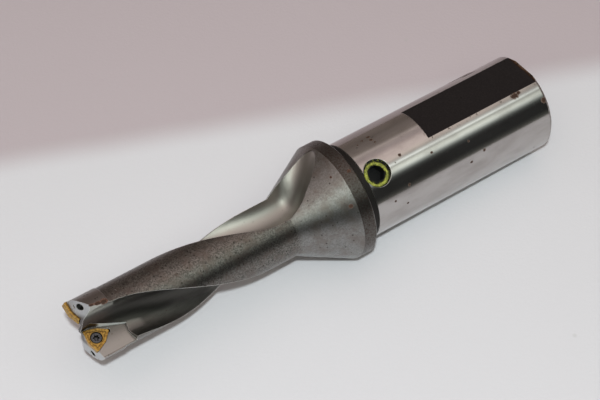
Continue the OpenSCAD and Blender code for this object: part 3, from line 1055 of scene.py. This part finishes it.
def sealant_material():
    """Dried yellow-green thread sealant."""
    material, nodes = new_material("thread_sealant")
    place = part_place(nodes)
    fine = nodes.noise(place, *SEALANT_FINE)
    grime_and_shade = nodes.product(nodes.step(fine, *SEALANT_GRIME_RANGE), SEALANT_GRIME_SHARE)
    tone = nodes.step(nodes.noise(place, *SEALANT_CLOUD), *SEALANT_RANGE)
    colour = nodes.mix(tone, SEALANT, SEALANT_DARK)
    finish_material(nodes, {
        "Base Color": nodes.mix(grime_and_shade, colour, SEALANT_GRIME),
        "Roughness": nodes.blend(nodes.step(fine, *GLOSS_RANGE), *SEALANT_GLOSS),
        "Normal": nodes.bump(fine, *SEALANT_BUMP),
    })
    return material


# Smooth shading of the carried-over parts

SHARP_ANGLE = math.radians(24.0)
WELD = 0.0005 * MM


def smooth_group():
    """Nodes that weld a part's faces and shade them smooth up to the sharp angle."""
    group = bpy.data.node_groups.new("smooth_by_angle", "GeometryNodeTree")
    group.interface.new_socket("Geometry", in_out="INPUT", socket_type="NodeSocketGeometry")
    group.interface.new_socket("Geometry", in_out="OUTPUT", socket_type="NodeSocketGeometry")
    nodes = Nodes(group)
    whole = nodes.add("NodeGroupInput").outputs[0]
    welded = nodes.add("GeometryNodeMergeByDistance", {"Geometry": whole, "Distance": WELD}).outputs[0]
    bare = nodes.add("GeometryNodeRemoveAttribute", {"Geometry": welded, "Name": "custom_normal"}).outputs[0]
    smooth = nodes.add("GeometryNodeSetShadeSmooth", {0: bare, 2: True}, domain="FACE").outputs[0]
    angle = nodes.add("GeometryNodeInputMeshEdgeAngle").outputs["Unsigned Angle"]
    sharp = nodes.math("GREATER_THAN", angle, SHARP_ANGLE)
    split = nodes.add("GeometryNodeSetShadeSmooth", {0: smooth, 1: sharp, 2: False}, domain="EDGE").outputs[0]
    nodes.put(nodes.add("NodeGroupOutput").inputs[0], split)
    return group


def set_material(node, material, smoothing):
    """Gives a carried-over part its finish and smooth shading."""
    part = frame["nodes"][node]
    part.data.materials.clear()
    part.data.materials.append(material)
    part.modifiers.new("smooth", "NODES").node_group = smoothing


# Ring of sealant squeezed out round the plug

RING_INNER = 2.95
RING_OUTER = 4.05
RING_RISE = 0.5
# Shift of the ring in its hole, across and along the axis
RING_SHIFT = (-0.26, 0.26)
RING_TURNS = 90
RING_SIDES = 12
# Unevenness: waves round the ring, phase and height, and the share that each of its sizes takes of it
RING_WAVES = ((3, 0.8, 0.16), (7, 2.1, 0.10), (13, 0.0, 0.05))
INNER_UNEVEN = 0.6
OUTER_UNEVEN = 0.3
RISE_UNEVEN = 0.5


def sealant_ring():
    """An uneven ring that sits on the plug, a little off its centre."""
    out = Vector((math.cos(PORT_ANGLE), math.sin(PORT_ANGLE), 0.0))
    side = Vector((-out.y, out.x, 0.0))
    axis = Vector((0.0, 0.0, 1.0))
    centre = side * RING_SHIFT[0] + axis * (PORT_Z + RING_SHIFT[1])
    mesh = bpy.data.meshes.new("sealant_ring")
    bm = bmesh.new()
    rows = []
    for i in range(RING_TURNS):
        turn = 2 * math.pi * i / RING_TURNS
        uneven = sum(height * math.sin(waves * turn + phase) for waves, phase, height in RING_WAVES)
        inner = RING_INNER + INNER_UNEVEN * uneven
        outer = RING_OUTER - OUTER_UNEVEN * abs(uneven)
        rise = RING_RISE + RISE_UNEVEN * uneven
        row = []
        for j in range(RING_SIDES):
            bend = 2 * math.pi * j / RING_SIDES
            r = (inner + outer) / 2 + (outer - inner) / 2 * math.cos(bend)
            h = PLUG_OUT + rise * max(math.sin(bend), 0.0)
            spot = centre + out * h + side * (r * math.cos(turn)) + axis * (r * math.sin(turn))
            row.append(bm.verts.new(spot * MM))
        rows.append(row)
    for i in range(RING_TURNS):
        for j in range(RING_SIDES):
            a, b = rows[i], rows[(i + 1) % RING_TURNS]
            k = (j + 1) % RING_SIDES
            bm.faces.new((a[j], a[k], b[k], b[j]))
    bmesh.ops.recalc_face_normals(bm, faces=bm.faces)
    for face in bm.faces:
        face.smooth = True
    bm.to_mesh(mesh)
    bm.free()
    ring = bpy.data.objects.new("sealant_ring", mesh)
    bpy.context.collection.objects.link(ring)
    mesh.materials.append(sealant_material())
    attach(ring, "root")


# Scene

make_camera()
make_table()
make_world()
make_lamp()
coating = insert_material()
finishes = {
    "drill_body": steel_material(),
    "central_insert": coating,
    "peripheral_insert": coating,
    "central_insert_screw": screw_material("central_screw", 0, CENTRAL_SCREW),
    "peripheral_insert_screw": screw_material("peripheral_screw", 1, PERIPHERAL_SCREW),
    "coolant_plug": plug_material(),
}
smooth_by_angle = smooth_group()
for node_name, finish in finishes.items():
    set_material(node_name, finish, smooth_by_angle)
sealant_ring()

bpy.context.scene.view_settings.view_transform = "Standard"
